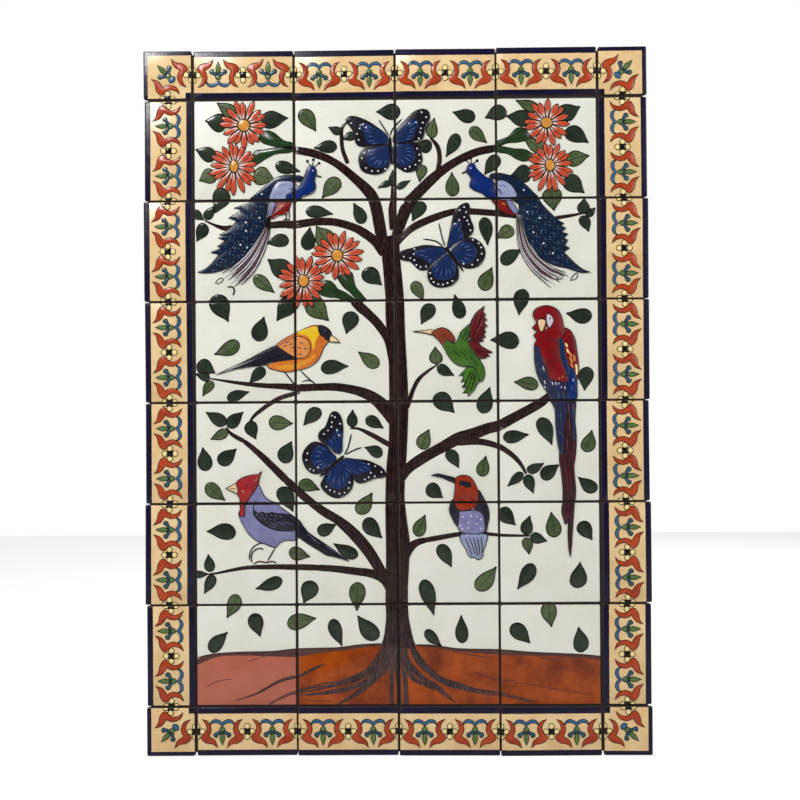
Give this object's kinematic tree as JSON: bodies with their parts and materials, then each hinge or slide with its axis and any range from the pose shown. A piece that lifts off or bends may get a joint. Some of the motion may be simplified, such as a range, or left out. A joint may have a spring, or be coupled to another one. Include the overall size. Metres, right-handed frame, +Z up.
{
  "type": "relief tile mural",
  "caption": "Wall mural of glazed clay relief tiles showing a tree of life with birds and butterflies, framed by narrow patterned border tiles and joined by dark grout.",
  "frame": {"origin": "centre of the back plane, where the mural is bonded to its wall", "axes": "+X to the viewer's right, +Z up, +Y into the wall; the glazed faces look along -Y"},
  "size_m": [0.7605, 0.008, 1.0638],
  "materials": {
    "white_glaze": "glossy",
    "cream_glaze": "glossy",
    "dark_grout": "matt",
    "cobalt_glaze": "glossy",
    "line_glaze": "glossy",
    "bark_glaze": "glossy",
    "earth_glaze": "glossy",
    "leaf_glaze": "glossy",
    "flower_glaze": "glossy",
    "bird_glaze": "glossy",
    "butterfly_glaze": "glossy",
    "pattern_glaze": "glossy"
  },
  "bodies": {
    "root": {"picture_row1_col1": "white_glaze", "picture_row1_col2": "white_glaze", "picture_row1_col3": "white_glaze", "picture_row1_col4": "white_glaze", "picture_row2_col1": "white_glaze", "picture_row2_col2": "white_glaze", "picture_row2_col3": "white_glaze", "picture_row2_col4": "white_glaze", "picture_row3_col1": "white_glaze", "picture_row3_col2": "white_glaze", "picture_row3_col3": "white_glaze", "picture_row3_col4": "white_glaze", "picture_row4_col1": "white_glaze", "picture_row4_col2": "white_glaze", "picture_row4_col3": "white_glaze", "picture_row4_col4": "white_glaze", "picture_row5_col1": "white_glaze", "picture_row5_col2": "white_glaze", "picture_row5_col3": "white_glaze", "picture_row5_col4": "white_glaze", "picture_row6_col1": "white_glaze", "picture_row6_col2": "white_glaze", "picture_row6_col3": "white_glaze", "picture_row6_col4": "white_glaze", "border_top_1": "cream_glaze", "border_top_2": "cream_glaze", "border_top_3": "cream_glaze", "border_top_4": "cream_glaze", "border_bottom_1": "cream_glaze", "border_bottom_2": "cream_glaze", "border_bottom_3": "cream_glaze", "border_bottom_4": "cream_glaze", "border_left_1": "cream_glaze", "border_left_2": "cream_glaze", "border_left_3": "cream_glaze", "border_left_4": "cream_glaze", "border_left_5": "cream_glaze", "border_left_6": "cream_glaze", "border_right_1": "cream_glaze", "border_right_2": "cream_glaze", "border_right_3": "cream_glaze", "border_right_4": "cream_glaze", "border_right_5": "cream_glaze", "border_right_6": "cream_glaze", "corner_top_left": "cream_glaze", "corner_top_right": "cream_glaze", "corner_bottom_left": "cream_glaze", "corner_bottom_right": "cream_glaze", "grout_lattice": "dark_grout"}
  },
  "joints": []
}
